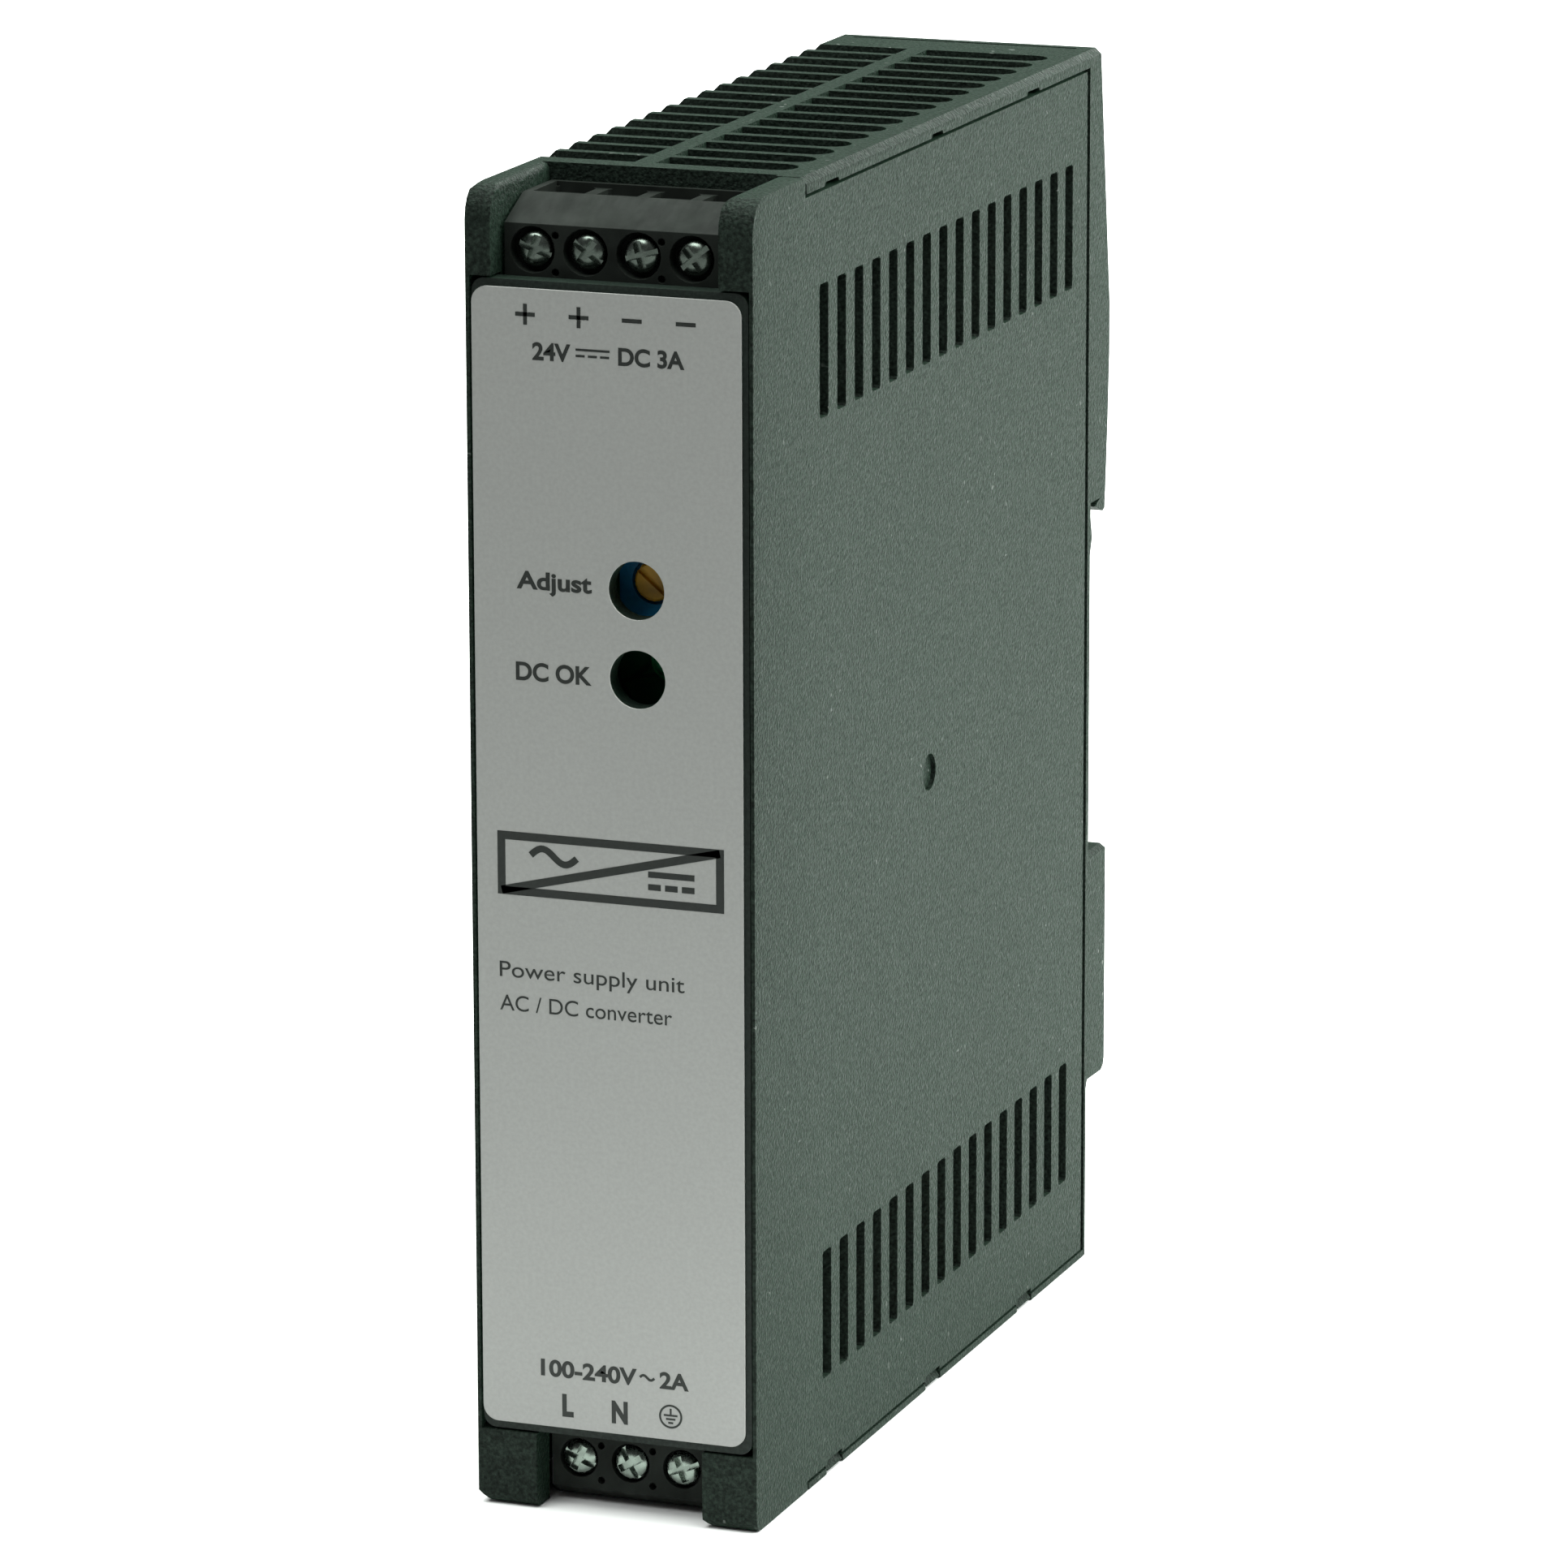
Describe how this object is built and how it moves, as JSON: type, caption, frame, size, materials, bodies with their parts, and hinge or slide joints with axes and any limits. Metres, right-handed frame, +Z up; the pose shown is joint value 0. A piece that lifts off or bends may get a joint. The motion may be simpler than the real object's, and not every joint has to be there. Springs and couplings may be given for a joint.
{
  "type": "din rail power supply",
  "caption": "Slim vented DIN rail power supply with clip-on side and front covers, screw clamp terminal blocks, trimmer and indicator ports, and a sprung rail latch.",
  "frame": {"origin": "middle of the bounding box on the base plane", "axes": "+Z up along the height, -Y out of the front face, +Y towards the rail, +X to the side with the clip-on cover"},
  "size_m": [0.027, 0.0984, 0.121],
  "materials": {
    "case_plastic": "fine grained dark grey moulding",
    "cover_plastic": "dark moulding",
    "label_film": "satin printed film",
    "latch_plastic": "smooth black moulding",
    "terminal_plastic": "black moulding",
    "spring_steel": "drawn wire",
    "screw_steel": "zinc plated",
    "clamp_steel": "nickel plated",
    "contact_brass": "tin plated",
    "board_laminate": "solder resist",
    "insulation": "translucent film",
    "trimmer_body": "moulded",
    "trimmer_rotor": "moulded",
    "indicator_lens": "tinted epoxy",
    "component_epoxy": "moulded epoxy",
    "capacitor_box": "moulded case",
    "capacitor_sleeve": "printed sleeve",
    "copper_winding": "enamelled wire",
    "winding_tape": "polyester tape",
    "ferrite": "sintered",
    "heat_sink": "bare sheet"
  },
  "bodies": {
    "case": {"bridge_rectifier": "component_epoxy", "bulk_capacitor": "capacitor_sleeve", "common_mode_choke": "copper_winding", "controller_chip": "component_epoxy", "dc_ok_led": "indicator_lens", "front_cover": "cover_plastic", "front_label": "label_film", "input_board": "board_laminate", "input_contact_1": "contact_brass", "input_contact_2": "contact_brass", "input_contact_3": "contact_brass", "input_fuse": "component_epoxy", "input_terminal_housing": "terminal_plastic", "inrush_thermistor": "component_epoxy", "insulation_film": "insulation", "latch_spring": "spring_steel", "main_board": "board_laminate", "main_housing": "case_plastic", "mains_filter_capacitor": "capacitor_box", "optocoupler": "component_epoxy", "output_board": "board_laminate", "output_capacitor_1": "capacitor_sleeve", "output_capacitor_2": "capacitor_sleeve", "output_contact_1": "contact_brass", "output_contact_2": "contact_brass", "output_contact_3": "contact_brass", "output_contact_4": "contact_brass", "output_inductor": "copper_winding", "output_rectifier": "component_epoxy", "output_terminal_housing": "terminal_plastic", "primary_heat_sink": "heat_sink", "primary_transistor": "component_epoxy", "secondary_heat_sink": "heat_sink", "side_cover": "case_plastic", "signal_board": "board_laminate", "transformer_core": "ferrite", "transformer_winding": "winding_tape", "trim_pot_body": "trimmer_body"},
    "latch": {"rail_latch": "latch_plastic"},
    "trimmer": {"trim_pot_rotor": "trimmer_rotor"},
    "output_screw_1": {"output_screw_1": "screw_steel"},
    "output_clamp_1": {"output_clamp_1": "clamp_steel"},
    "output_screw_2": {"output_screw_2": "screw_steel"},
    "output_clamp_2": {"output_clamp_2": "clamp_steel"},
    "output_screw_3": {"output_screw_3": "screw_steel"},
    "output_clamp_3": {"output_clamp_3": "clamp_steel"},
    "output_screw_4": {"output_screw_4": "screw_steel"},
    "output_clamp_4": {"output_clamp_4": "clamp_steel"},
    "input_screw_1": {"input_screw_1": "screw_steel"},
    "input_clamp_1": {"input_clamp_1": "clamp_steel"},
    "input_screw_2": {"input_screw_2": "screw_steel"},
    "input_clamp_2": {"input_clamp_2": "clamp_steel"},
    "input_screw_3": {"input_screw_3": "screw_steel"},
    "input_clamp_3": {"input_clamp_3": "clamp_steel"}
  },
  "joints": [
    {"name": "latch_slide", "type": "slide", "parent": "case", "child": "latch", "axis": [0, 0, -1], "range_m": [0, 0.004], "stiffness_N_per_m": 1500, "deforming": ["latch_spring"]},
    {"name": "trimmer_turn", "type": "hinge", "parent": "case", "child": "trimmer", "pos_m": [0.00245, -0.0447, 0.08575], "axis": [0, 1, 0], "range_deg": [-135, 135]},
    {"name": "output_screw_1_turn", "type": "hinge", "parent": "case", "child": "output_screw_1", "pos_m": [-0.00815, -0.0452, 0.1151], "axis": [0, 1, 0], "range_deg": [0, 1440]},
    {"name": "output_clamp_1_travel", "type": "slide", "parent": "case", "child": "output_clamp_1", "axis": [0, -1, 0], "range_m": [0, 0.002]},
    {"name": "output_screw_2_turn", "type": "hinge", "parent": "case", "child": "output_screw_2", "pos_m": [-0.00315, -0.0452, 0.1151], "axis": [0, 1, 0], "range_deg": [0, 1440]},
    {"name": "output_clamp_2_travel", "type": "slide", "parent": "case", "child": "output_clamp_2", "axis": [0, -1, 0], "range_m": [0, 0.002]},
    {"name": "output_screw_3_turn", "type": "hinge", "parent": "case", "child": "output_screw_3", "pos_m": [0.00185, -0.0452, 0.1151], "axis": [0, 1, 0], "range_deg": [0, 1440]},
    {"name": "output_clamp_3_travel", "type": "slide", "parent": "case", "child": "output_clamp_3", "axis": [0, -1, 0], "range_m": [0, 0.002]},
    {"name": "output_screw_4_turn", "type": "hinge", "parent": "case", "child": "output_screw_4", "pos_m": [0.00685, -0.0452, 0.1151], "axis": [0, 1, 0], "range_deg": [0, 1440]},
    {"name": "output_clamp_4_travel", "type": "slide", "parent": "case", "child": "output_clamp_4", "axis": [0, -1, 0], "range_m": [0, 0.002]},
    {"name": "input_screw_1_turn", "type": "hinge", "parent": "case", "child": "input_screw_1", "pos_m": [-0.00485, -0.0452, 0.0042], "axis": [0, 1, 0], "range_deg": [0, 1440]},
    {"name": "input_clamp_1_travel", "type": "slide", "parent": "case", "child": "input_clamp_1", "axis": [0, -1, 0], "range_m": [0, 0.002]},
    {"name": "input_screw_2_turn", "type": "hinge", "parent": "case", "child": "input_screw_2", "pos_m": [0.00015, -0.0452, 0.0042], "axis": [0, 1, 0], "range_deg": [0, 1440]},
    {"name": "input_clamp_2_travel", "type": "slide", "parent": "case", "child": "input_clamp_2", "axis": [0, -1, 0], "range_m": [0, 0.002]},
    {"name": "input_screw_3_turn", "type": "hinge", "parent": "case", "child": "input_screw_3", "pos_m": [0.00515, -0.0452, 0.0042], "axis": [0, 1, 0], "range_deg": [0, 1440]},
    {"name": "input_clamp_3_travel", "type": "slide", "parent": "case", "child": "input_clamp_3", "axis": [0, -1, 0], "range_m": [0, 0.002]}
  ],
  "couplings": [
    {"joint": "output_screw_1_turn", "follows": "output_clamp_1_travel", "rad_per_m": 12566},
    {"joint": "output_screw_2_turn", "follows": "output_clamp_2_travel", "rad_per_m": 12566},
    {"joint": "output_screw_3_turn", "follows": "output_clamp_3_travel", "rad_per_m": 12566},
    {"joint": "output_screw_4_turn", "follows": "output_clamp_4_travel", "rad_per_m": 12566},
    {"joint": "input_screw_1_turn", "follows": "input_clamp_1_travel", "rad_per_m": 12566},
    {"joint": "input_screw_2_turn", "follows": "input_clamp_2_travel", "rad_per_m": 12566},
    {"joint": "input_screw_3_turn", "follows": "input_clamp_3_travel", "rad_per_m": 12566}
  ]
}
